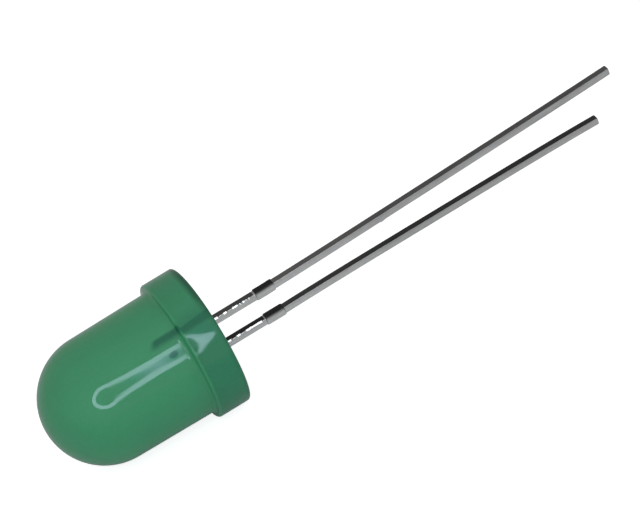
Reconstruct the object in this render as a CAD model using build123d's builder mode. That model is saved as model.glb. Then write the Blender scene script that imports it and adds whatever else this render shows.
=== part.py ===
"""A 10 mm round light-emitting diode, diffused, lying on the flat of its flange.

The part is cast: two stamped leads stand in a cup mould, the die sits in the cup on the shorter
lead, a fine wire runs from the die to the longer lead, and epoxy fills the mould round them.
X runs along the casting's axis, with the dome towards -X and the leads towards +X. Z is up, and
the origin is the centre of the flange's rear face, which is the seating plane. Sizes are in
millimetres and angles in degrees.
"""

from build123d import *
from math import atan2, cos, degrees, radians, tan
import os

# Epoxy casting: dome, barrel and flange
barrel_diameter = 10.0
barrel_length = 6.5
barrel_draft = 0.7
flange_thickness = 2.7
flange_overhang = 0.65
flange_edge_radius = 0.22
flat_proud = 0.05

# Rear face of the casting: a flat rim, a shallow shrinkage dish and a skirt round each lead
rear_rim_width = 1.0
dish_depth = 0.1
dish_ramp = 0.8
meniscus_spread = 0.22
meniscus_rise = 0.3
meniscus_edge = 0.04
meniscus_corner_radius = 0.15

# Stamped leads
lead_width = 0.58
strip_thickness = 0.58
lead_pitch = 2.54
anode_length = 35.9
cathode_length = 33.8
anode_splay = 1.88
cathode_splay = 0.11
lead_edge_chamfer = 0.04

# Lands that the cut dam bar leaves on both edges of each lead
land_start = 4.2
land_length = 1.6
land_proud = 0.1
land_corner_radius = 0.06

# Burr on the inner edge of the anode lead
burr_position = 15.4
burr_length = 0.56
burr_height = 0.09

# How far the whole lead frame stands off the casting's axis
frame_shift_y = -0.12
frame_shift_z = -0.24

# Barbed roots, which hold the leads in the casting
barb_depth = 1.2
barb_length = 0.8
barb_reach = 0.35

# Anvil and reflector cup, on the cathode lead
anvil_foot_depth = 2.4
anvil_shoulder_depth = 4.0
anvil_reach = 0.5
cup_rim_depth = 5.8
cup_head_height = 0.95
cup_neck_height = 0.4
cup_outer_diameter = 1.6
cup_mouth_diameter = 1.3
cup_floor_diameter = 0.75
cup_floor_drop = 0.45

# Bonding post, on the anode lead
post_foot_depth = 2.8
post_shoulder_depth = 3.6
post_top_depth = 5.6
post_cup_gap = 0.25
post_outer_reach = 0.2

# Die, its adhesive and its wire
attach_size = 0.44
attach_thickness = 0.03
attach_corner_radius = 0.1
die_size = 0.32
die_height = 0.26
wire_diameter = 0.03
ball_diameter = 0.09
ball_height = 0.04
wedge_length = 0.12
wedge_width = 0.07
wedge_thickness = 0.035
loop_height = 0.5
wire_rim_clearance = 0.05

# Places worked out from the sizes above
barrel_radius = barrel_diameter / 2
root_radius = barrel_radius + barrel_length * tan(radians(barrel_draft))
flange_radius = barrel_radius + flange_overhang
dome_centre = flange_thickness + barrel_length
dish_radius = flange_radius - rear_rim_width
flat_drop = root_radius + flat_proud
lead_inner = lead_pitch / 2 - lead_width / 2
lead_outer = lead_pitch / 2 + lead_width / 2
land_middle = land_start + land_length / 2
cup_floor_depth = cup_rim_depth - cup_floor_drop
cup_neck_depth = cup_rim_depth - cup_head_height
die_base_depth = cup_floor_depth + attach_thickness
die_top_depth = die_base_depth + die_height
post_inner = cup_outer_diameter / 2 + post_cup_gap
post_outer = lead_outer + post_outer_reach
meniscus_taper = degrees(atan2(meniscus_spread - meniscus_edge, meniscus_rise))

# The strip's middle plane: its x runs out along the leads, its y up towards the anode
frame_origin = Vector(0, frame_shift_y, frame_shift_z)
strip_plane = Plane(origin=frame_origin, x_dir=(1, 0, 0), z_dir=(0, -1, 0))
cup_axis = Axis(frame_origin, (1, 0, 0))


def facing_dome(depth):
    """The plane across the lead frame at this depth in the casting, looking towards the dome."""
    return Plane(origin=frame_origin - Vector(depth, 0, 0), x_dir=(0, -1, 0), z_dir=(-1, 0, 0))


def lead_strip(side, length, splay):
    """Flat outline of a lead from its barbed root to its tip. side is 1 for the upper lead, the
    anode, and -1 for the lower one, and splay turns the outer length away from the other lead."""
    centre = side * lead_pitch / 2
    with BuildSketch() as strip:
        # Straight root and shank, from inside the casting to the middle of the land
        with Locations((land_middle, centre)):
            Rectangle(land_middle + anvil_foot_depth, lead_width, align=(Align.MAX, Align.CENTER))
        # Outer length, bent a little where the dam bar was cut away
        with Locations(Location((land_middle, centre, 0), (0, 0, side * splay))):
            outer_length = (length - land_middle) / cos(radians(splay))
            Rectangle(outer_length, lead_width, align=(Align.MIN, Align.CENTER))
        # Land of the cut dam bar
        with Locations((land_middle, centre)):
            RectangleRounded(land_length, lead_width + 2 * land_proud, land_corner_radius)
        # Barb on the outer edge, square to a pull on the lead
        with BuildLine():
            Polyline(
                (-barb_depth, side * lead_outer),
                (-barb_depth, side * (lead_outer + barb_reach)),
                (-barb_depth - barb_length, side * lead_outer),
                (-barb_depth - barb_length, centre),
                (-barb_depth, centre),
                close=True,
            )
        make_face()
    return strip.sketch


def break_edges(lead):
    """Break the sheared edges of a stamped lead, which tinning leaves slightly soft."""
    return chamfer(lead.faces().filter_by(Axis.Y).edges(), lead_edge_chamfer)


with BuildPart() as anode_lead:
    with BuildSketch(strip_plane):
        add(lead_strip(1, anode_length, anode_splay))
        # Bonding post beside the cup
        with BuildLine():
            Polyline(
                (-anvil_foot_depth, lead_inner),
                (-anvil_foot_depth, lead_outer),
                (-post_foot_depth, lead_outer),
                (-post_shoulder_depth, post_outer),
                (-post_top_depth, post_outer),
                (-post_top_depth, post_inner),
                (-post_foot_depth, post_inner),
                close=True,
            )
        make_face()
    extrude(amount=strip_thickness / 2, both=True)
    break_edges(anode_lead)
    # Burr on the flat of the inner edge, which follows the splayed length
    with BuildSketch(strip_plane):
        burr_edge = lead_inner + (burr_position - land_middle) * tan(radians(anode_splay))
        with Locations(Location((burr_position, burr_edge, 0), (0, 0, anode_splay))):
            Ellipse(burr_length / 2, burr_height)
    extrude(amount=strip_thickness / 2 - lead_edge_chamfer, both=True)

with BuildPart() as cathode_lead:
    with BuildSketch(strip_plane):
        add(lead_strip(-1, cathode_length, cathode_splay))
        # Anvil, which widens from the lead to carry the cup on the frame's middle
        with BuildLine():
            Polyline(
                (-anvil_foot_depth, -lead_outer),
                (-anvil_foot_depth, -lead_inner),
                (-anvil_shoulder_depth, anvil_reach),
                (-cup_neck_depth, anvil_reach),
                (-cup_neck_depth, -cup_outer_diameter / 2),
                (-anvil_shoulder_depth, -lead_outer),
                close=True,
            )
        make_face()
    extrude(amount=strip_thickness / 2, both=True)
    break_edges(cathode_lead)
    # Coined cup: a neck that flares out of the strip, a round head and a conical reflector
    with BuildSketch(strip_plane):
        with BuildLine():
            Polyline(
                (cup_neck_height - cup_neck_depth, 0),
                (cup_neck_height - cup_neck_depth, strip_thickness / 2),
                (-cup_neck_depth, cup_outer_diameter / 2),
                (-cup_rim_depth, cup_outer_diameter / 2),
                (-cup_rim_depth, cup_mouth_diameter / 2),
                (-cup_floor_depth, cup_floor_diameter / 2),
                (-cup_floor_depth, 0),
                close=True,
            )
        make_face()
    revolve(axis=cup_axis)

with BuildPart() as die_attach:
    with BuildSketch(facing_dome(cup_floor_depth)):
        RectangleRounded(attach_size, attach_size, attach_corner_radius)
    extrude(amount=attach_thickness)

with BuildPart() as led_die:
    with BuildSketch(facing_dome(die_base_depth)):
        Rectangle(die_size, die_size)
    extrude(amount=die_height)

# Bond wire: straight up off the die, then one kink and down over the cup's rim to the post. The
# kink stands loop_height over the rim, and higher over a low post, where the wire would touch it
wire_start = (-die_top_depth - ball_height / 2, 0)
wedge_middle = (post_inner + post_outer) / 2
wire_end = (-post_top_depth - wedge_thickness / 2 - wire_diameter / 4, wedge_middle)
rim_radius = cup_outer_diameter / 2
over_rim = -cup_rim_depth - wire_rim_clearance - wire_diameter / 2
wire_slope = (wire_end[0] - over_rim) / (wedge_middle - rim_radius)
loop_top = min(-cup_rim_depth - loop_height, over_rim - rim_radius * wire_slope)

with BuildPart() as bond_wire:
    with BuildLine(strip_plane) as loop:
        Polyline(wire_start, (loop_top, 0), wire_end)
    with BuildSketch(Plane(origin=loop.line @ 0, z_dir=loop.line % 0)):
        Circle(wire_diameter / 2)
    sweep(path=loop.line, transition=Transition.RIGHT)
    # Ball on the die and wedge foot on the post
    with BuildSketch(facing_dome(die_top_depth)):
        Circle(ball_diameter / 2)
    extrude(amount=ball_height)
    with BuildSketch(facing_dome(post_top_depth)):
        with Locations((0, wedge_middle)):
            Rectangle(wedge_width, wedge_length)
    extrude(amount=wedge_thickness)

with BuildPart() as epoxy_lens:
    # Half section of the casting, turned about the axis: hemisphere, drafted barrel, flange with
    # rounded rims, flat rear rim and dish
    with BuildSketch(Plane.XZ) as half_section:
        with BuildLine():
            CenterArc((-dome_centre, 0), barrel_radius, 90, 90)
            Polyline(
                (-dome_centre, barrel_radius),
                (-flange_thickness, root_radius),
                (-flange_thickness, flange_radius),
                (0, flange_radius),
                (0, dish_radius),
                (-dish_depth, dish_radius - dish_ramp),
                (-dish_depth, 0),
                (-dome_centre - barrel_radius, 0),
            )
        make_face()
        fillet(half_section.vertices().group_by(Axis.Y)[-1], flange_edge_radius)
    revolve(axis=Axis.X)
    # Cathode flat, which the part lies on
    with BuildSketch(Plane.YZ.offset(-flange_thickness)):
        with Locations((0, -flat_drop)):
            Rectangle(2 * flange_radius, flange_overhang, align=(Align.CENTER, Align.MAX))
    extrude(amount=flange_thickness, mode=Mode.SUBTRACT)
    # Skirt of epoxy that creeps up each lead as the casting cures
    with BuildSketch(Plane.YZ.offset(-dish_depth)):
        with Locations(
            (frame_shift_y, frame_shift_z + lead_pitch / 2),
            (frame_shift_y, frame_shift_z - lead_pitch / 2),
        ):
            skirt_height = strip_thickness + 2 * meniscus_spread
            skirt_width = lead_width + 2 * meniscus_spread
            RectangleRounded(skirt_height, skirt_width, meniscus_corner_radius)
    extrude(amount=meniscus_rise, taper=meniscus_taper)
    # The casting closes on everything that stands in it, from the wire outwards
    for held_piece in (bond_wire, led_die, die_attach, anode_lead, cathode_lead):
        add(held_piece.part, mode=Mode.SUBTRACT)

pieces = {
    "epoxy_lens": epoxy_lens,
    "anode_lead": anode_lead,
    "cathode_lead": cathode_lead,
    "die_attach": die_attach,
    "led_die": led_die,
    "bond_wire": bond_wire,
}
os.makedirs("parts", exist_ok=True)
for name, piece in pieces.items():
    piece.part.label = name
    export_step(piece.part, f"parts/{name}.step")
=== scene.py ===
"""A 10 mm round green LED lying on its cathode flat, dressed over its CAD frame.

The casting and the two stamped leads are computed as fine surfaces that stand for their CAD
nodes. The die, its adhesive and its wire keep their CAD shape and get a finish. X runs along the
casting's axis with the dome towards -X, Z is up, and everything is in metres.
"""

import math

import bmesh
import bpy
import numpy as np
from bpy.props import FloatProperty, FloatVectorProperty, IntProperty, PointerProperty
from mathutils import Matrix, Vector


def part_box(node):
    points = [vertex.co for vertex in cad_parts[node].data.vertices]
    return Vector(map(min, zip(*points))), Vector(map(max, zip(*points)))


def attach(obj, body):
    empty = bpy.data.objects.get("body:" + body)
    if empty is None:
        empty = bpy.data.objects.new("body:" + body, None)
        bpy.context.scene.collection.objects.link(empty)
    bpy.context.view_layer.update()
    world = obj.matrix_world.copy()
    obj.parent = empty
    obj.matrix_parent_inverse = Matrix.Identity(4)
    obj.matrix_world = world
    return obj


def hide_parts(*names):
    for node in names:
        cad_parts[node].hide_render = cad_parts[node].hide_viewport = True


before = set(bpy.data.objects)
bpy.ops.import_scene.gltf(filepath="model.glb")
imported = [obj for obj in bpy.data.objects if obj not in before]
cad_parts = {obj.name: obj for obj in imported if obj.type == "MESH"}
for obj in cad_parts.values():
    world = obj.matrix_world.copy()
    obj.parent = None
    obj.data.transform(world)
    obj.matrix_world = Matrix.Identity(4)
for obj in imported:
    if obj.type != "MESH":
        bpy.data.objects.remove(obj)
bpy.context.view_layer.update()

bl_info = {
    "name": "Round LED",
    "version": (1, 0, 0),
    "blender": (4, 5, 0),
    "location": "3D View > Sidebar > LED",
    "description": "Dresses the frame of a 10 mm round LED and sets its stage",
    "category": "Object",
}

MM = 0.001
FLOOR_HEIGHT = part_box("epoxy_lens")[0].z
SKY_DISTANCE = 0.6


# Meshes


def ring_faces(rings, points):
    """Quads between neighbouring rings: (i, j), (i, j + 1), (i + 1, j + 1), (i + 1, j), j closed."""
    ring, point = np.meshgrid(np.arange(rings - 1), np.arange(points), indexing="ij")
    here = ring * points + point
    beside = ring * points + (point + 1) % points
    return np.stack([here, beside, beside + points, here + points], axis=-1).reshape(-1, 4)


def closed_mesh(name, grids, sharp_degrees):
    """One mesh of closed skins. Each grid is rings x points x 3, and a ring drawn together to one
    point is a pole, which is merged."""
    shell = bmesh.new()
    for grid in grids:
        rings, points, _ = grid.shape
        skin = bpy.data.meshes.new("skin")
        skin.from_pydata(grid.reshape(-1, 3).tolist(), [], ring_faces(rings, points).tolist())
        shell.from_mesh(skin)
        bpy.data.meshes.remove(skin)
    bmesh.ops.remove_doubles(shell, verts=shell.verts, dist=1e-7)
    bmesh.ops.recalc_face_normals(shell, faces=shell.faces)
    mesh = bpy.data.meshes.new(name)
    shell.to_mesh(mesh)
    shell.free()
    mesh.shade_smooth()
    mesh.set_sharp_from_angle(angle=math.radians(sharp_degrees))
    return mesh


def place(name, mesh, material):
    """Links a mesh to the scene as an object at the origin and gives it its material."""
    piece = bpy.data.objects.new(name, mesh)
    mesh.materials.clear()
    mesh.materials.append(material)
    bpy.context.scene.collection.objects.link(piece)
    return piece


def arc(centre, radius, start, end, count):
    """Arc (cx + R cos a, cr + R sin a) for count angles a from start to end, in degrees."""
    angle = np.radians(np.linspace(start, end, count))
    return np.stack([centre[0] + radius * np.cos(angle), centre[1] + radius * np.sin(angle)], axis=1)


def line(start, end, count):
    """Points start + t (end - start) for count values t from 0 to 1, and one close to each end,
    which keeps a straight stretch straight in its shading."""
    share = np.union1d(np.linspace(0, 1, count), (0.004, 0.996))[:, None]
    return np.array(start) + share * (np.array(end) - np.array(start))


def casting_profile(size):
    """Half section (x, r) from the dome's tip to the centre of the rear face: hemisphere, drafted
    barrel, root fillet, flange with two rounded rims, flat rim, ramp and dish."""
    barrel = size.barrel_diameter / 2
    dome_x = -size.flange_thickness - size.barrel_length
    rise = math.tan(math.radians(size.draft))
    fillet = size.root_fillet
    root_x = -size.flange_thickness - fillet
    root_r = barrel + (root_x - dome_x) * rise
    rim_r = size.flange_diameter / 2
    rim = size.rim_radius
    ring = rim_r - size.rear_rim
    floor = ring - size.dish_ramp
    # The dish has its finest rings between these two, where the leads come out
    past_leads = 2.3 * MM
    between_leads = 0.6 * MM
    stretches = [
        arc((dome_x, 0), barrel, 180, 90, 72),
        line((dome_x, barrel), (root_x, root_r), 28),
        arc((root_x, root_r + fillet), fillet, -90, 0, 6),
        line((-size.flange_thickness, root_r + fillet), (-size.flange_thickness, rim_r - rim), 5),
        arc((-size.flange_thickness + rim, rim_r - rim), rim, 180, 90, 10),
        line((-size.flange_thickness + rim, rim_r), (-rim, rim_r), 12),
        arc((-rim, rim_r - rim), rim, 90, 0, 10),
        line((0, rim_r - rim), (0, ring), 6),
        line((0, ring), (-size.dish_depth, floor), 8),
        line((-size.dish_depth, floor), (-size.dish_depth, past_leads), 10),
        line((-size.dish_depth, past_leads), (-size.dish_depth, between_leads), 56),
        line((-size.dish_depth, between_leads), (-size.dish_depth, 0), 6),
    ]
    return np.concatenate([stretches[0]] + [stretch[1:] for stretch in stretches[1:]])


def casting_mesh(size, lead):
    """Skin of the casting: (x, r sin t, -r cos t) for the profile (x, r) and t round the axis.

    On the flange r is held to flat / cos t where t faces down, which cuts the cathode flat. The
    rear dish rises by h ((s - d) / s)^2.2 within s of a lead's section, d being the distance.
    """
    profile = casting_profile(size)
    turn = np.linspace(-math.pi, math.pi, size.segments, endpoint=False)
    edge = math.acos(size.flat_drop / (size.flange_diameter / 2))
    for side in (-edge, edge):
        turn[np.argmin(np.abs(turn - side))] = side
    along, angle = np.meshgrid(profile[:, 0], turn, indexing="ij")
    radius = np.broadcast_to(profile[:, 1:2], along.shape).copy()
    on_flange = (along > -size.flange_thickness - size.root_fillet) & (np.cos(angle) > 0.5)
    limit = size.flat_drop / np.maximum(np.cos(angle), 0.5)
    radius = np.where(on_flange, np.minimum(radius, limit), radius)
    across = radius * np.sin(angle)
    height = -radius * np.cos(angle)
    ring = size.flange_diameter / 2 - size.rear_rim - size.dish_ramp
    on_dish = (np.arange(len(profile)) > len(profile) // 2)[:, None] & (radius < ring)
    for side in (-1, 1):
        out_y = np.abs(across - lead.shift_y) - lead.width / 2 + lead.corner
        out_z = np.abs(height - lead.shift_z - side * lead.pitch / 2) - lead.width / 2 + lead.corner
        distance = np.hypot(np.maximum(out_y, 0), np.maximum(out_z, 0)) - lead.corner
        near = np.clip((size.skirt_spread - distance) / size.skirt_spread, 0, 1)
        along = along + np.where(on_dish, size.skirt_rise * near**2.2, 0)
    return closed_mesh("epoxy_casting", [np.stack([along, across, height], axis=-1)], 20)


def lead_stations(lead, length, head):
    """Stations (x, inner, outer) of a stamped lead: the head inside the casting, the barb, the
    shank, the land with rounded corners, the outer length and the tip, closer together towards its
    end. inner and outer are its edges' distances from the frame's middle, towards its own side."""
    inner = lead.pitch / 2 - lead.width / 2
    outer = lead.pitch / 2 + lead.width / 2
    barb_foot = -2.0 * MM
    barb_point = -1.2 * MM
    barb_height = 0.35 * MM
    spacing = 0.06 * MM
    turn = np.radians(np.linspace(0, 90, 6))
    tip = length - lead.tip_radius * (1 - np.sin(turn))
    reach = lead.land_proud - lead.land_corner + lead.land_corner * np.sin(turn)
    rise = lead.land_start + lead.land_corner * (1 - np.cos(turn))
    fall = 2 * lead.land_start + lead.land_length - rise
    knots = np.concatenate(
        [
            head,
            [(barb_foot, inner, outer)],
            [(barb_point, inner, outer + barb_height), (barb_point, inner, outer)],
            [(lead.land_start, inner, outer)],
            np.stack([rise, inner - reach, outer + reach], axis=1),
            np.stack([fall, inner - reach, outer + reach], axis=1)[::-1],
            [(lead.land_start + lead.land_length, inner, outer)],
            [(x, inner, outer) for x in tip],
        ]
    )
    step = np.abs(np.diff(knots, axis=0)).sum(axis=1)
    travel = np.concatenate([[0], np.cumsum(step)])
    travelled = np.union1d(travel, np.arange(0, travel[-1], spacing))
    return np.stack([np.interp(travelled, travel, column) for column in knots.T], axis=1)


def pulses(turns, half_width, steepness):
    """Pulse train clip(s (w - |frac(t + 1/2) - 1/2|)): a pulse of half width w at each whole t."""
    return np.clip(steepness * (half_width - np.abs(np.mod(turns + 0.5, 1) - 0.5)), 0, 1)


def press_ticks(lead, side, x):
    """Where the press has ticked the arris, 0 to 1: pulses one pitch apart and, near the land, one
    long tick on the cathode lead and pulses three times as close on the anode lead."""
    anode_delay = 3.2
    seat_gap = 0.05 * MM
    land_gap = 0.3 * MM
    late_reach = 1.65 * MM
    first = lead.tick_start * (anode_delay if side > 0 else 1)
    turns = (x - first) / lead.tick_pitch
    late = pulses(turns * 3, 0.3, 12) if side > 0 else np.ones_like(x)
    ticked = np.where(x > lead.land_start - late_reach, late, pulses(turns, 0.27, 16))
    return ticked * (x > seat_gap) * (x < lead.land_start - land_gap)


def lead_skin(lead, side, stations, splay, bow, burr):
    """Skin of a stamped lead: a rounded rectangle at each station, drawn together at both ends.

    The corner towards +Z and -Y is a flat bevel where the press has ticked it, of the width
    c (1 + k p(x)) with p a pulse train. The outer length turns away by the splay and is bowed by
    b (1 - (2 u - 1)^4), the tip is rounded by e (1 - sqrt(1 - v^2)), and the burr lifts the inner
    edge by h (1 - w), with u, v and w from 0 to 1 along each.
    """
    x, inner, outer = stations.T
    lifted = np.clip((x - lead.burr_start) / lead.burr_length, 0, 1)
    inner = inner - burr * (1 - lifted) * (x > lead.burr_start)
    lean = np.maximum(x - lead.land_start - lead.land_length / 2, 0) * math.tan(math.radians(splay))
    free = lead.land_start + lead.land_length
    length = np.clip((x - free) / (x[-1] - free), 0, 1)
    low, high = np.sort(np.stack([side * inner, side * outer]), axis=0) + side * lean
    middle = lead.shift_z + (low + high) / 2 + bow * (1 - (2 * length - 1) ** 4)
    end = np.clip((x - x[-1]) / lead.tip_radius + 1, 0, 1)
    inset = lead.tip_radius * (1 - np.sqrt(1 - end**2))
    half_z = (high - low) / 2 - inset
    half_y = lead.width / 2 - inset[:, None]
    ticked = press_ticks(lead, side, x)
    bends = np.radians(np.linspace(0, 90, 5))
    corners = []
    for sign_y, sign_z, start in ((1, 1, 0), (-1, 1, 90), (-1, -1, 180), (1, -1, 270)):
        radius = np.full_like(x, lead.corner)
        flat = np.zeros_like(x)
        if (sign_y, sign_z) == (-1, 1):
            radius = lead.corner * (1 + lead.tick_depth * ticked)
            flat = np.minimum(4 * ticked, 1)
        turn = bends + math.radians(start)
        rounded = np.stack([np.cos(turn), np.sin(turn)])[:, None, :]
        bevel = rounded[..., :1] + (bends / bends[-1]) * (rounded[..., -1:] - rounded[..., :1])
        unit_y, unit_z = rounded + flat[:, None] * (bevel - rounded)
        y = lead.shift_y + sign_y * (half_y - radius[:, None]) + radius[:, None] * unit_y
        z = middle[:, None] + sign_z * (half_z - radius)[:, None] + radius[:, None] * unit_z
        corners.append(np.stack([np.broadcast_to(x[:, None], y.shape), y, z], axis=-1))
    # Points across each face, closer together towards its corners
    share = np.array([0.06, 0.18, 0.34, 0.5, 0.66, 0.82, 0.94])[None, :, None]
    sides = []
    for corner, following in zip(corners, corners[1:] + corners[:1]):
        sides += [corner, corner[:, -1:] + share * (following[:, :1] - corner[:, -1:])]
    rings = np.concatenate(sides, axis=1)
    first_pole = np.broadcast_to(rings[:1].mean(axis=1, keepdims=True), rings[:1].shape)
    last_pole = np.broadcast_to(rings[-1:].mean(axis=1, keepdims=True), rings[-1:].shape)
    return np.concatenate([first_pole, rings, last_pole])


def shear_shade_share(mesh, lead, most):
    """How much of a point takes the dark tone of the cut edges, partly their own duller finish and
    mostly painted shade: most where the surface faces up or down, a little more before the land,
    less on the lip at its start and none on the bevel that the press ticked. The painted shade rolls
    over on to the front face: by 1 - 3 q^2 + 2 q^3 on the land, q being the depth below the upper
    arris over 0.36 mm, and elsewhere by 0.4 e^(-depth / 0.09 mm)."""
    roll_depth = 0.36 * MM
    fade_depth = 0.09 * MM
    lip_width = 0.1 * MM
    faint = 0.4
    normals = np.zeros(len(mesh.vertices) * 3)
    places = np.zeros(len(mesh.vertices) * 3)
    mesh.vertices.foreach_get("normal", normals)
    mesh.vertices.foreach_get("co", places)
    x, _, z = places.reshape(-1, 3).T
    _, towards, upward = normals.reshape(-1, 3).T
    upper = np.flatnonzero(upward > 0.9)
    upper = upper[np.argsort(x[upper])]
    depth = np.maximum(np.interp(x, x[upper], z[upper]) - z, 0)
    on_land = (x > lead.land_start) & (x < lead.land_start + lead.land_length)
    on_lip = np.abs(x - lead.land_start + lip_width / 2) < lip_width / 2
    # Painted shade on the faces that point up or down: a little deeper before the land, full on the land
    before = np.where(x < lead.land_start, min(most + 0.09, 1), most)
    # Painted highlight: the lip at the land's start keeps only a faint share of the dark tone
    upright = np.where(on_lip, faint, np.where(on_land, 1.0, before))
    facing = np.clip(4 * np.abs(upward) - 1.2, 0, 1) * upright
    # Painted shade that rolls from the upper arris down the front face
    fall = np.clip(depth / roll_depth, 0, 1)
    rolled = np.where(on_land, 1 - 3 * fall**2 + 2 * fall**3, faint * np.exp(-depth / fade_depth))
    share = np.where(towards < -0.7, rolled, facing)
    on_bevel = (towards < -0.3) & (upward > 0.3) & (x < lead.land_start)
    return np.where(on_bevel, 0, share)


def cup_skin(lead):
    """Skin of the coined cup: its half section (x, r) turned round the frame's middle."""
    section = MM * np.array(
        [(-4.45, 0), (-4.45, 0.29), (-4.85, 0.8), (-5.8, 0.8), (-5.8, 0.65), (-5.35, 0.375), (-5.35, 0)]
    )
    turn = np.linspace(0, 2 * math.pi, 48, endpoint=False)
    across = lead.shift_y + section[:, 1:2] * np.cos(turn)
    height = lead.shift_z + section[:, 1:2] * np.sin(turn)
    return np.stack([np.broadcast_to(section[:, :1], across.shape), across, height], axis=-1)


# Materials


class Value:
    """A value socket that takes part in arithmetic with numbers and with other values."""

    def __init__(self, tree, socket):
        self.tree = tree
        self.socket = socket

    def maths(self, operation, *terms):
        """A maths node over numbers and values."""
        node = self.tree.nodes.new("ShaderNodeMath")
        node.operation = operation
        for slot, term in zip(node.inputs, terms):
            if isinstance(term, Value):
                self.tree.links.new(term.socket, slot)
            else:
                slot.default_value = term
        return Value(self.tree, node.outputs[0])

    def __add__(self, other):
        return self.maths("ADD", self, other)

    def __radd__(self, other):
        return self.maths("ADD", other, self)

    def __sub__(self, other):
        return self.maths("SUBTRACT", self, other)

    def __rsub__(self, other):
        return self.maths("SUBTRACT", other, self)

    def __mul__(self, other):
        return self.maths("MULTIPLY", self, other)

    def __rmul__(self, other):
        return self.maths("MULTIPLY", other, self)

    def __truediv__(self, other):
        return self.maths("DIVIDE", self, other)

    def __rtruediv__(self, other):
        return self.maths("DIVIDE", other, self)

    def __pow__(self, other):
        return self.maths("POWER", self, other)

    def __rpow__(self, other):
        return self.maths("POWER", other, self)

    def held(self):
        """Held between 0 and 1."""
        return self.maths("MINIMUM", self.maths("MAXIMUM", self, 0.0), 1.0)

    def rise(self, start, length):
        """0 up to start, 1 from start + length, and straight between."""
        return ((self - start) / length).held()


class Shading:
    """Builds the node tree of one material or world."""

    def __init__(self, owner):
        owner.use_nodes = True
        self.tree = owner.node_tree
        self.tree.nodes.clear()

    def node(self, kind, settings=None, inputs=None):
        """A node of this kind: its settings first, then its values and links."""
        node = self.tree.nodes.new(kind)
        for name, setting in (settings or {}).items():
            setattr(node, name, setting)
        for name, given in (inputs or {}).items():
            if isinstance(given, Value):
                given = given.socket
            if isinstance(given, bpy.types.NodeSocket):
                self.tree.links.new(given, node.inputs[name])
            else:
                node.inputs[name].default_value = given
        return node

    def value(self, socket):
        """A socket of this tree as a value."""
        return Value(self.tree, socket)

    def stretched(self, stretch):
        """Object coordinates times stretch."""
        coordinates = self.node("ShaderNodeTexCoord").outputs["Object"]
        settings = {"operation": "MULTIPLY"}
        return self.node("ShaderNodeVectorMath", settings, {0: coordinates, 1: stretch}).outputs[0]

    def along(self, axis):
        """One object coordinate, in millimetres."""
        split = self.node("ShaderNodeSeparateXYZ", None, {0: self.stretched((1000, 1000, 1000))})
        return self.value(split.outputs[axis])

    def noise(self, stretch, detail, roughness=0.5):
        """Noise in 0 to 1 whose grain is one over stretch, in metres."""
        inputs = {"Vector": self.stretched(stretch), "Scale": 1.0, "Detail": detail}
        inputs["Roughness"] = roughness
        return self.value(self.node("ShaderNodeTexNoise", None, inputs).outputs[0])

    def attribute(self, name):
        """A value kept on the mesh's points."""
        return self.value(self.node("ShaderNodeAttribute", {"attribute_name": name}).outputs["Fac"])

    def mix(self, factor, first, second):
        """Colour from first to second."""
        settings = {"data_type": "RGBA", "clamp_factor": True}
        inputs = {0: factor, 6: first, 7: second}
        return self.node("ShaderNodeMix", settings, inputs).outputs[2]

    def bump(self, height, distance, strength):
        """A normal tilted by a height over this distance, in metres."""
        inputs = {"Height": height, "Distance": distance, "Strength": strength}
        return self.node("ShaderNodeBump", None, inputs).outputs[0]

    def surface(self, inputs):
        """The material's one surface."""
        shader = self.node("ShaderNodeBsdfPrincipled", None, inputs)
        self.node("ShaderNodeOutputMaterial", None, {"Surface": shader.outputs[0]})


def colour(rgb):
    """RGB with full alpha."""
    return (*rgb, 1.0)


def body_tone_and_shade(along, across, height):
    """Where the epoxy's tone changes, as shares: the flange, the deeper parts, painted lighter on the
    flange's upper back side, the painted shade along the rear edge and the painted shade where the
    bonding post and the anvil show through. along, across and height are in millimetres, and a
    bearing is in degrees round the axis, 0 to the front and 90 upwards."""
    side_radius = 4.8
    deep_front = -4.2
    flange_front = -2.62
    rear_edge_front = -0.42
    post_bearing = 50.0
    post_top_bearing = 60.4
    post_front = -5.5
    anvil_along = -3.86
    anvil_bearing = 40.8
    radius = (across**2 + height**2) ** 0.5
    bearing = height.maths("ARCTAN2", height, across * -1) * (180 / math.pi)
    upper_back = (height * 0.875 + across * 0.485) / (radius + 0.001)
    outside = radius.rise(side_radius, 0.2)
    flange = along.rise(flange_front, 0.15)
    deeper = along.rise(deep_front, 1.5) * 0.06
    # Painted light: on its upper back side, its lit side, the flange is less deep
    deeper = deeper + flange * (0.45 - upper_back.rise(0.485, 0.144) * 0.26)
    top = upper_back.rise(0.36, 0.3)
    # Painted shade along the rear edge, strongest on its upper back side
    shaded_rear_edge = (along + top * 0.25).rise(rear_edge_front, 0.4) * (top * 0.5 + 0.35) * outside
    # Painted shade where the bonding post shows through the milky epoxy
    post_shade = (post_top_bearing - bearing - flange * (1.9 - along * 1.1)).rise(0, 2.2)
    post_shade = post_shade * (bearing + flange * 1.2).rise(post_bearing, 5.5)
    post_shade = post_shade * (along - (bearing - post_bearing) * 0.06).rise(post_front, 0.5)
    post_shade = post_shade * (1 - flange * 0.15) * outside
    # Painted shade where the anvil shows through, a dim spot
    anvil_shade = 1.7 - ((along - anvil_along) / 0.34) ** 2 - ((bearing - anvil_bearing) / 2.5) ** 2
    return flange, deeper, shaded_rear_edge, post_shade, anvil_shade.held()


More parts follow.
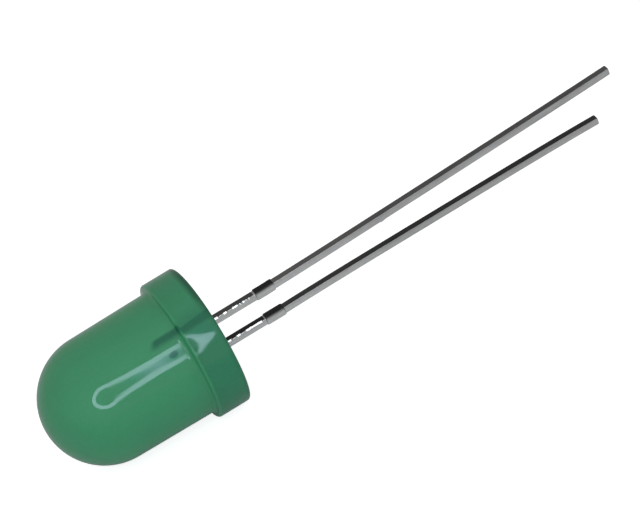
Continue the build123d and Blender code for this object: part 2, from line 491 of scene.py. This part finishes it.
def green_epoxy(look):
    """Milky green epoxy: a clear gloss over a body with faint flow clouds and filler grain, deeper
    in the flange and painted lighter on its upper back side, with painted shade along the rear edge
    and where the bonding post and the anvil show through as dim marks."""
    material = bpy.data.materials.new("green_epoxy")
    shading = Shading(material)
    clouds = shading.noise((170, 260, 260), 3.0)
    grain = shading.noise((5200, 5200, 5200), 2.0)
    places = [shading.along(axis) for axis in range(3)]
    flange, deeper, shaded_rear_edge, post_shade, anvil_shade = body_tone_and_shade(*places)
    speckle = (clouds - 0.5) * 0.35 + (grain - 0.5) * 0.2
    # The tone holds the clouds and grain, the deeper parts and the painted shade of the post and the
    # anvil
    shade = (speckle + deeper + post_shade * 0.95 + anvil_shade * 0.75 + 0.12).held()
    tint = shading.mix(shade, colour(look.body_light), colour(look.body_deep))
    # Painted shade along the rear edge
    tint = shading.mix(shaded_rear_edge, tint, colour(look.body_edge_shade))
    polish = 0.035 + (shading.noise((900, 900, 900), 3.0) - 0.4).held() * 0.05
    ripple = shading.noise((330, 420, 420), 1.0)
    shading.surface(
        {
            "Base Color": tint,
            "Roughness": polish * (1 - flange * 0.6),
            "IOR": 1.53,
            "Subsurface Weight": 0.25,
            "Subsurface Radius": (0.4, 1.0, 0.6),
            "Subsurface Scale": 0.0006,
            "Normal": shading.bump(ripple, 0.000003, 0.35),
        }
    )
    return material


def tinned_steel(look):
    """Tin over stamped steel: drawing lines along X, a mottled grey, duller from 5 to 17 mm out,
    and darker cut edges, partly their own duller finish and mostly painted shade."""
    material = bpy.data.materials.new("tinned_steel")
    shading = Shading(material)
    shear_shade = shading.attribute("shear_shade")
    lines = shading.noise((90, 9000, 9000), 3.0)
    mottle = shading.noise((900, 2200, 2200), 4.0, 0.65)
    patches = shading.noise((220, 900, 900), 2.0)
    handled = shading.along(0).rise(5, 12) * 0.55
    wear = ((lines - 0.5) * 0.9 + (mottle - 0.5) * 0.9 + (patches - 0.5) * 0.7 + handled + 0.15).held()
    rolled = shading.mix(wear, colour(look.tin_light), colour(look.tin_dark))
    # The cut edges' dark tone: partly their own duller finish, mostly painted shade
    cut = shading.mix(wear, colour(look.shaded_shear_bright), colour(look.shaded_shear_dull))
    relief = lines * 0.6 + mottle * 0.4
    shading.surface(
        {
            "Base Color": shading.mix(shear_shade, rolled, cut),
            "Metallic": 1.0,
            "Roughness": 0.24 + wear * 0.14 + shear_shade * 0.04,
            "Normal": shading.bump(relief, 0.000006, 0.5),
        }
    )
    return material


def silver_adhesive():
    """Cured adhesive with silver flakes."""
    material = bpy.data.materials.new("silver_adhesive")
    shading = Shading(material)
    cells = {"Vector": shading.stretched((30000, 30000, 30000)), "Scale": 1.0}
    flakes = shading.value(shading.node("ShaderNodeTexVoronoi", None, cells).outputs["Distance"])
    tint = shading.mix(flakes, (0.62, 0.62, 0.60, 1), (0.36, 0.35, 0.33, 1))
    shading.surface(
        {
            "Base Color": tint,
            "Metallic": 0.6,
            "Roughness": 0.45 + flakes * 0.2,
            "Normal": shading.bump(flakes, 0.000004, 0.6),
        }
    )
    return material


def die_crystal():
    """Sawn crystal: polished amber-green with saw lines on its sides."""
    material = bpy.data.materials.new("die_crystal")
    shading = Shading(material)
    cuts = shading.noise((60000, 9000, 9000), 2.0)
    tint = shading.mix(cuts, (0.42, 0.35, 0.10, 1), (0.20, 0.17, 0.05, 1))
    shading.surface(
        {
            "Base Color": tint,
            "Roughness": 0.12 + cuts * 0.25,
            "IOR": 2.4,
            "Normal": shading.bump(cuts, 0.000002, 0.5),
        }
    )
    return material


def gold_wire():
    """Drawn gold wire with faint die lines."""
    material = bpy.data.materials.new("gold_wire")
    shading = Shading(material)
    drawn = shading.noise((20000, 60000, 20000), 2.0)
    tint = shading.mix(drawn, (0.86, 0.66, 0.28, 1), (0.70, 0.48, 0.16, 1))
    shading.surface(
        {
            "Base Color": tint,
            "Metallic": 1.0,
            "Roughness": 0.16 + drawn * 0.14,
            "Normal": shading.bump(drawn, 0.000001, 0.4),
        }
    )
    return material


def finish_node(name, material):
    """Gives a CAD node its finish."""
    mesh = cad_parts[name].data
    mesh.materials.clear()
    mesh.materials.append(material)


# Stage


def sky_point(turn, rise):
    """Point D (sin a, -cos a cos b, cos a sin b), with the turn a towards +X, the rise b about X
    and the distance D of all lamps and cards."""
    a = np.radians(turn)
    b = np.radians(rise)
    return SKY_DISTANCE * np.stack([np.sin(a), -np.cos(a) * np.cos(b), np.cos(a) * np.sin(b)], axis=-1)


def glowing(name, tint, strength):
    """Plain emission for a lamp's face or a card, dimmed by its level attribute."""
    material = bpy.data.materials.new(name)
    shading = Shading(material)
    lit = shading.mix(shading.attribute("level"), (0, 0, 0, 1), colour(tint))
    face = {"Color": lit, "Strength": strength}
    glow = shading.node("ShaderNodeEmission", None, face)
    shading.node("ShaderNodeOutputMaterial", None, {"Surface": glow.outputs[0]})
    return material


def frame_lamp(legs, hub, outer, inner):
    """Both edges of a U of light: legs (turn, upper outer, upper inner, lower inner, lower outer)
    from the loop outwards, and half an ellipse hub + radius (cos a, sin a) for each edge."""
    turn, upper_outer, upper_inner, lower_inner, lower_outer = np.array(legs).T
    bend = np.radians(np.linspace(90, 270, 60))
    edges = []
    for radius, upper, lower in ((outer, upper_outer, lower_outer), (inner, upper_inner, lower_inner)):
        loop = np.array(hub) + np.array(radius) * np.stack([np.cos(bend), np.sin(bend)], axis=1)
        first = np.stack([turn, upper], axis=1)[::-1]
        edges.append(np.concatenate([first, loop, np.stack([turn, lower], axis=1)]))
    edges = np.stack(edges, axis=1)
    return sky_point(edges[..., 0], edges[..., 1])


def sheet_mesh(name, grid, level=1.0):
    """Open sheet of quads over a grid of points, with a glow level for each row or point."""
    mesh = bpy.data.meshes.new(name)
    rows, columns = grid.shape[:2]
    here = (np.arange(rows - 1)[:, None] * columns + np.arange(columns - 1)).reshape(-1)
    faces = np.stack([here, here + 1, here + columns + 1, here + columns], axis=1)
    mesh.from_pydata(grid.reshape(-1, 3).tolist(), [], faces.tolist())
    levels = np.broadcast_to(level, (rows, columns)).astype(float)
    mesh.attributes.new("level", "FLOAT", "POINT").data.foreach_set("value", levels.reshape(-1))
    return mesh


def card_mesh(name, corners):
    """One flat face."""
    mesh = bpy.data.meshes.new(name)
    mesh.from_pydata([tuple(corner) for corner in corners], [], [tuple(range(len(corners)))])
    return mesh


# Settings


class CastingSettings(bpy.types.PropertyGroup):
    """Sizes and colours of the epoxy casting."""

    barrel_diameter: FloatProperty(
        name="Barrel", description="Diameter at the dome", default=0.010, unit="LENGTH"
    )
    barrel_length: FloatProperty(
        name="Barrel length", description="Dome to flange", default=0.0065, unit="LENGTH"
    )
    draft: FloatProperty(name="Draft", description="Draft of the barrel in degrees", default=0.7)
    flange_diameter: FloatProperty(
        name="Flange", description="Diameter of the flange", default=0.0113, unit="LENGTH"
    )
    flange_thickness: FloatProperty(
        name="Flange thickness", description="Along the axis", default=0.0027, unit="LENGTH"
    )
    flat_drop: FloatProperty(
        name="Flat", description="Axis to the cathode flat", default=-FLOOR_HEIGHT, unit="LENGTH"
    )
    rim_radius: FloatProperty(
        name="Rim radius", description="Rounding of the flange's rims", default=0.00022, unit="LENGTH"
    )
    root_fillet: FloatProperty(
        name="Root fillet", description="Fillet between barrel and flange", default=0.00034, unit="LENGTH"
    )
    rear_rim: FloatProperty(
        name="Rear rim", description="Width of the flat rim", default=0.001, unit="LENGTH"
    )
    dish_ramp: FloatProperty(
        name="Dish ramp", description="Width of the dish's ramp", default=0.0008, unit="LENGTH"
    )
    dish_depth: FloatProperty(
        name="Dish", description="Depth of the rear dish", default=0.0001, unit="LENGTH"
    )
    skirt_spread: FloatProperty(
        name="Skirt spread", description="Reach of the skirt round a lead", default=0.00022, unit="LENGTH"
    )
    skirt_rise: FloatProperty(
        name="Skirt rise", description="Height of the skirt", default=0.0003, unit="LENGTH"
    )
    segments: IntProperty(name="Segments", description="Points round the axis", default=256)
    # The green runs from light to deep: with the clouds and grain, deeper toward the flange, with painted
    # shade where the post and the anvil show through, and painted light on the flange's upper back side
    body_light: FloatVectorProperty(
        name="Light green",
        description="Where the filler is dense",
        default=(0.053, 0.345, 0.155),
        subtype="COLOR",
    )
    body_deep: FloatVectorProperty(
        name="Deep green",
        description="Where the filler is thin",
        default=(0.004, 0.160, 0.080),
        subtype="COLOR",
    )
    # The colour of the painted shade along the rear edge
    body_edge_shade: FloatVectorProperty(
        name="Edge green",
        description="Along the rear edge",
        default=(0.0, 0.085, 0.038),
        subtype="COLOR",
    )


class LeadSettings(bpy.types.PropertyGroup):
    """Sizes and colours of the stamped leads."""

    width: FloatProperty(name="Width", description="Square section", default=0.00058, unit="LENGTH")
    corner: FloatProperty(
        name="Corner", description="Rounding of the edges", default=0.00004, unit="LENGTH"
    )
    pitch: FloatProperty(name="Pitch", description="Middle to middle", default=0.00254, unit="LENGTH")
    anode_length: FloatProperty(
        name="Anode length", description="Seating plane to tip", default=0.0359, unit="LENGTH"
    )
    cathode_length: FloatProperty(
        name="Cathode length", description="Seating plane to tip", default=0.0338, unit="LENGTH"
    )
    anode_splay: FloatProperty(
        name="Anode splay", description="Degrees away from the cathode", default=1.88
    )
    cathode_splay: FloatProperty(
        name="Cathode splay", description="Degrees away from the anode", default=0.11
    )
    shift_y: FloatProperty(
        name="Shift Y", description="Frame off the axis", default=-0.00012, unit="LENGTH"
    )
    shift_z: FloatProperty(
        name="Shift Z", description="Frame off the axis", default=-0.00024, unit="LENGTH"
    )
    land_start: FloatProperty(
        name="Land start", description="From the seating plane", default=0.0042, unit="LENGTH"
    )
    land_length: FloatProperty(
        name="Land length", description="Width of the cut dam bar", default=0.0016, unit="LENGTH"
    )
    land_proud: FloatProperty(
        name="Land proud", description="What the cut leaves on each edge", default=0.0001, unit="LENGTH"
    )
    land_corner: FloatProperty(
        name="Land corner", description="Rounding of the land", default=0.00006, unit="LENGTH"
    )
    anode_bow: FloatProperty(
        name="Anode bow", description="Middle of the free length", default=-0.00006, unit="LENGTH"
    )
    cathode_bow: FloatProperty(
        name="Cathode bow", description="Middle of the free length", default=0.0001, unit="LENGTH"
    )
    tip_radius: FloatProperty(
        name="Tip radius", description="Rounding of the tips", default=0.0001, unit="LENGTH"
    )
    burr_start: FloatProperty(
        name="Burr start", description="From the seating plane", default=0.01512, unit="LENGTH"
    )
    burr_length: FloatProperty(
        name="Burr length", description="Along the anode lead", default=0.00056, unit="LENGTH"
    )
    burr_height: FloatProperty(
        name="Burr height", description="Off the inner edge", default=0.00008, unit="LENGTH"
    )
    tick_start: FloatProperty(
        name="Ticks start", description="First press tick on the edge", default=0.00024, unit="LENGTH"
    )
    tick_pitch: FloatProperty(
        name="Tick pitch", description="Press tick to press tick", default=0.00079, unit="LENGTH"
    )
    tick_depth: FloatProperty(
        name="Tick depth", description="Extra bevel, in corner roundings", default=1.3
    )
    # Levels of the painted shade on the faces that point up or down, deeper on the cathode lead
    anode_shear_shade: FloatProperty(name="Anode shear", description="Sheared tone, 0 to 1", default=0.82)
    cathode_shear_shade: FloatProperty(name="Cathode shear", description="Sheared tone, 0 to 1", default=0.95)
    tin_light: FloatVectorProperty(
        name="Bright tin",
        description="Rolled faces",
        default=(0.94, 0.93, 0.91),
        subtype="COLOR",
    )
    tin_dark: FloatVectorProperty(
        name="Dull tin",
        description="Rolled faces, worn",
        default=(0.60, 0.59, 0.58),
        subtype="COLOR",
    )
    # Dark colours of the cut edges, partly their own duller finish and mostly painted shade
    shaded_shear_bright: FloatVectorProperty(
        name="Bright shear",
        description="Sheared edges",
        default=(0.036, 0.036, 0.038),
        subtype="COLOR",
    )
    shaded_shear_dull: FloatVectorProperty(
        name="Dull shear",
        description="Sheared edges, rough",
        default=(0.014, 0.014, 0.015),
        subtype="COLOR",
    )


class StageSettings(bpy.types.PropertyGroup):
    """Camera and light."""

    focal_length: FloatProperty(
        name="Focal length", description="On a 36 mm sensor, in millimetres", default=253.125
    )
    fill: FloatProperty(name="Fill", description="Brightness of the surroundings", default=0.655)
    glow: FloatProperty(name="Glow", description="Brightness of the frame of light", default=5.7)


# Operators


class LED_OT_casting(bpy.types.Operator):
    """Make the epoxy casting"""

    bl_idname = "led.casting"
    bl_label = "Epoxy casting"

    def execute(self, context):
        size = context.scene.led_casting
        mesh = casting_mesh(size, context.scene.led_leads)
        piece = place("epoxy_casting", mesh, green_epoxy(size))
        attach(piece, "root")
        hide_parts("epoxy_lens")
        return {"FINISHED"}


class LED_OT_leads(bpy.types.Operator):
    """Make the two stamped leads, one with the bonding post and one with the cup"""

    bl_idname = "led.leads"
    bl_label = "Stamped leads"

    def execute(self, context):
        lead = context.scene.led_leads
        inner = lead.pitch / 2 - lead.width / 2
        outer = lead.pitch / 2 + lead.width / 2
        # The heads inside the casting, as stations (x, inner, outer)
        post = [
            (-5.6 * MM, 1.05 * MM, outer + 0.2 * MM),
            (-3.6 * MM, 1.05 * MM, outer + 0.2 * MM),
            (-2.8 * MM, 1.05 * MM, outer),
            (-2.4 * MM, inner, outer),
        ]
        anvil = [
            (-4.85 * MM, -0.5 * MM, 0.8 * MM),
            (-4.0 * MM, -0.5 * MM, outer),
            (-2.4 * MM, inner, outer),
        ]
        finish = tinned_steel(lead)
        stations = lead_stations(lead, lead.anode_length, post)
        anode = lead_skin(lead, 1, stations, lead.anode_splay, lead.anode_bow, lead.burr_height)
        stations = lead_stations(lead, lead.cathode_length, anvil)
        cathode = lead_skin(lead, -1, stations, lead.cathode_splay, lead.cathode_bow, 0)
        for name, node, skins, shade_level in (
            ("anode_strip", "anode_lead", [anode], lead.anode_shear_shade),
            ("cathode_strip", "cathode_lead", [cathode, cup_skin(lead)], lead.cathode_shear_shade),
        ):
            mesh = closed_mesh(name, skins, 30)
            # Painted shade on the faces that point up or down, at one level for each lead
            shear_shade = shear_shade_share(mesh, lead, shade_level)
            mesh.attributes.new("shear_shade", "FLOAT", "POINT").data.foreach_set("value", shear_shade)
            piece = place(name, mesh, finish)
            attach(piece, "root")
            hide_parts(node)
        return {"FINISHED"}


class LED_OT_chip(bpy.types.Operator):
    """Finish the die, its adhesive and its wire"""

    bl_idname = "led.chip"
    bl_label = "Die, adhesive and wire"

    def execute(self, context):
        finish_node("die_attach", silver_adhesive())
        finish_node("led_die", die_crystal())
        finish_node("bond_wire", gold_wire())
        return {"FINISHED"}


class LED_OT_stage(bpy.types.Operator):
    """Set the camera, the white floor, the surroundings and the lights"""

    bl_idname = "led.stage"
    bl_label = "Stage"

    def execute(self, context):
        stage = context.scene.led_stage
        self.camera(context, stage)
        self.floor(context)
        self.surroundings(context, stage)
        self.lamp(stage)
        self.haze_card(stage)
        self.edge_card(stage)
        self.lead_card(stage)
        return {"FINISHED"}

    def camera(self, context, stage):
        """The camera looks from in front, 39 degrees above the floor and a little from the dome."""
        lens = bpy.data.cameras.new("camera")
        lens.sensor_width = 36
        lens.sensor_fit = "HORIZONTAL"
        lens.lens = stage.focal_length
        lens.clip_start = 0.01
        lens.clip_end = 10
        right = Vector((0.84188585, -0.44793234, -0.30097315))
        up = Vector((0.5098731, 0.47751424, 0.71554844))
        back = Vector((-0.17679832, -0.75586822, 0.63040113))
        turn = Matrix((right, up, back)).transposed().to_4x4()
        camera = bpy.data.objects.new("camera", lens)
        position = MM * Vector((-48.977, -252.168, 211.393))
        camera.matrix_world = Matrix.Translation(position) @ turn
        context.scene.collection.objects.link(camera)
        context.scene.camera = camera
        context.scene.view_settings.view_transform = "Standard"

    def floor(self, context):
        """White paper that goes to white for the camera and keeps the shadow."""
        material = bpy.data.materials.new("white_paper")
        shading = Shading(material)
        fibres = shading.noise((900, 900, 900), 2.0)
        paper = {"Color": shading.mix(fibres, (0.67, 0.67, 0.67, 1), (0.65, 0.65, 0.65, 1))}
        matt = shading.node("ShaderNodeBsdfDiffuse", None, paper)
        glow = shading.node("ShaderNodeEmission", None, {"Color": (1, 1, 1, 1), "Strength": 0.8})
        both = shading.node("ShaderNodeAddShader", None, {0: matt.outputs[0], 1: glow.outputs[0]})
        seen = shading.node("ShaderNodeLightPath").outputs["Is Camera Ray"]
        inputs = {0: seen, 1: matt.outputs[0], 2: both.outputs[0]}
        mixed = shading.node("ShaderNodeMixShader", None, inputs)
        shading.node("ShaderNodeOutputMaterial", None, {"Surface": mixed.outputs[0]})
        reach = 3.0
        corners = [(-reach, -reach), (reach, -reach), (reach, reach), (-reach, reach)]
        mesh = card_mesh("floor", [(x, y, FLOOR_HEIGHT) for x, y in corners])
        place("floor", mesh, material)

    def surroundings(self, context, stage):
        """A white world for the camera, and for the light a soft one of brightness
        f (0.56 + 0.44 t^2), with t from 0 behind the object to 1 on the camera's side."""
        world = bpy.data.worlds.new("surroundings")
        context.scene.world = world
        shading = Shading(world)
        way = shading.node("ShaderNodeTexCoord").outputs["Generated"]
        towards_camera = (-0.18, -0.76, 0.63)
        facing = {0: way, 1: towards_camera}
        aligned = shading.node("ShaderNodeVectorMath", {"operation": "DOT_PRODUCT"}, facing)
        share = shading.value(aligned.outputs["Value"]) * 0.5 + 0.5
        bright = share**2 * 0.44 + 0.56
        fill = {"Color": shading.mix(bright, (0, 0, 0, 1), (1, 0.985, 0.96, 1)), "Strength": stage.fill}
        lit = shading.node("ShaderNodeBackground", None, fill)
        white = shading.node("ShaderNodeBackground", None, {"Color": (1, 1, 1, 1), "Strength": 1.0})
        seen = shading.node("ShaderNodeLightPath").outputs["Is Camera Ray"]
        inputs = {0: seen, 1: lit.outputs[0], 2: white.outputs[0]}
        mixed = shading.node("ShaderNodeMixShader", None, inputs)
        shading.node("ShaderNodeOutputWorld", None, {"Surface": mixed.outputs[0]})

    def lamp(self, stage):
        """A U of light round the camera, with the turn and four rises for each row of its legs."""
        tube = glowing("lamp_white", (0.68, 0.82, 1.0), stage.glow)
        legs = [
            (2.0, 58.7, 53.0, 27.0, 20.3),
            (4.70, 58.2, 52.0, 28.4, 21.6),
            (4.80, 57.4, 50.5, 30.9, 23.5),
            (4.92, 56.4, 48.9, 32.2, 24.2),
            (5.15, 55.3, 46.9, 33.2, 25.0),
            (5.38, 54.9, 45.9, 34.0, 25.3),
            (5.61, 54.2, 45.2, 34.8, 25.9),
            (5.79, 54.0, 45.4, 34.8, 25.8),
            (5.97, 54.4, 46.2, 33.6, 25.1),
            (6.08, 54.6, 47.3, 31.9, 24.1),
            (6.20, 54.1, 46.6, 31.9, 24.1),
            (6.38, 53.4, 45.8, 32.5, 24.8),
        ]
        ring = frame_lamp(legs, (-5.0, 39.8), (24.7, 19.5), (18.2, 13.7))
        place("frame_lamp", sheet_mesh("frame_lamp", ring), tube)

    def haze_card(self, stage):
        """A dim blue card between the legs of the lamp, brighter along them: rows of the turn, the
        lower and the upper rise and the level."""
        rows = [
            (5.06, 32.8, 47.6, 0.00),
            (5.26, 33.6, 46.4, 0.34),
            (5.49, 34.4, 45.6, 0.64),
            (5.61, 34.8, 45.2, 0.84),
            (5.79, 34.8, 45.4, 1.00),
            (5.96, 33.6, 46.2, 0.90),
            (6.04, 32.4, 47.2, 0.00),
            (6.14, 31.9, 47.0, 0.00),
            (6.22, 31.9, 46.6, 0.50),
            (6.38, 32.5, 45.8, 0.95),
        ]
        across = np.array([1.25, 0.95, 0.9, 1.25, 1.6])
        turn, low, high, level = np.array(rows).T[..., None]
        rise = low + (high - low) * np.linspace(0, 1, len(across))
        grid = sky_point(np.broadcast_to(turn, rise.shape), rise)
        blue = glowing("card_blue", (0.60, 0.62, 1.0), 0.8 * stage.glow)
        place("haze_card", sheet_mesh("haze_card", grid, level * across), blue)

    def edge_card(self, stage):
        """A card that the flange mirrors as a bright patch with a faint veil beyond it: rows of
        the rise, the turns where the patch starts and ends and the veil ends, and the level."""
        veil = 0.12
        soft_edge = 0.01
        rows = [
            (59.8, 7.97, 7.97, 8.34, 0.11),
            (57.0, 7.80, 7.88, 8.38, 0.45),
            (54.4, 7.83, 7.98, 8.38, 0.72),
            (51.5, 7.89, 8.03, 8.38, 0.90),
            (48.5, 7.94, 8.09, 8.38, 0.90),
            (45.6, 7.97, 8.17, 8.38, 0.95),
            (42.6, 7.99, 8.26, 8.38, 1.00),
            (39.7, 8.01, 8.36, 8.38, 1.00),
            (36.8, 8.01, 8.36, 8.38, 1.00),
            (33.8, 8.01, 8.31, 8.32, 1.00),
            (30.8, 7.99, 8.22, 8.23, 1.00),
            (27.8, 7.95, 8.12, 8.13, 0.90),
            (24.8, 7.92, 8.05, 8.06, 0.80),
            (22.0, 7.92, 8.00, 8.01, 0.50),
        ]
        rise, near, far, reach, level = np.array(rows).T
        turn = np.stack([near, far, far + soft_edge, reach], axis=1)
        faint = np.full_like(level, veil)
        level = np.stack([level, level * 0.75, faint, faint], axis=1)
        grid = sky_point(turn, np.broadcast_to(rise[:, None], turn.shape))
        white = glowing("card_white", (0.66, 0.84, 1.0), 1.28 * stage.glow)
        place("edge_card", sheet_mesh("edge_card", grid, level), white)

    def lead_card(self, stage):
        """A white card that the ticked arris of the leads mirrors."""
        rise, turn = np.meshgrid(np.linspace(46.0, 54.0, 4), (9.6, 12.5), indexing="ij")
        plain = glowing("card_plain", (1.0, 1.0, 1.0), stage.glow)
        place("lead_card", sheet_mesh("lead_card", sky_point(turn, rise)), plain)


class LED_PT_panel(bpy.types.Panel):
    """Lists the pieces and the stage"""

    bl_idname = "LED_PT_panel"
    bl_label = "Round LED"
    bl_space_type = "VIEW_3D"
    bl_region_type = "UI"
    bl_category = "LED"

    def draw(self, context):
        layout = self.layout
        for name, group in (("Casting", "led_casting"), ("Leads", "led_leads"), ("Stage", "led_stage")):
            box = layout.box()
            box.label(text=name)
            settings = getattr(context.scene, group)
            for key in settings.__annotations__:
                box.prop(settings, key)
        for operator in OPERATORS:
            layout.operator(operator.bl_idname)


OPERATORS = (LED_OT_stage, LED_OT_casting, LED_OT_leads, LED_OT_chip)
CLASSES = (CastingSettings, LeadSettings, StageSettings, *OPERATORS, LED_PT_panel)


def register():
    for each in CLASSES:
        bpy.utils.register_class(each)
    bpy.types.Scene.led_casting = PointerProperty(type=CastingSettings)
    bpy.types.Scene.led_leads = PointerProperty(type=LeadSettings)
    bpy.types.Scene.led_stage = PointerProperty(type=StageSettings)


def unregister():
    del bpy.types.Scene.led_stage
    del bpy.types.Scene.led_leads
    del bpy.types.Scene.led_casting
    for each in reversed(CLASSES):
        bpy.utils.unregister_class(each)


def main():
    """Registers the add-on and runs its operators in order."""
    register()
    bpy.ops.led.stage()
    bpy.ops.led.casting()
    bpy.ops.led.leads()
    bpy.ops.led.chip()


if __name__ == "__main__":
    main()
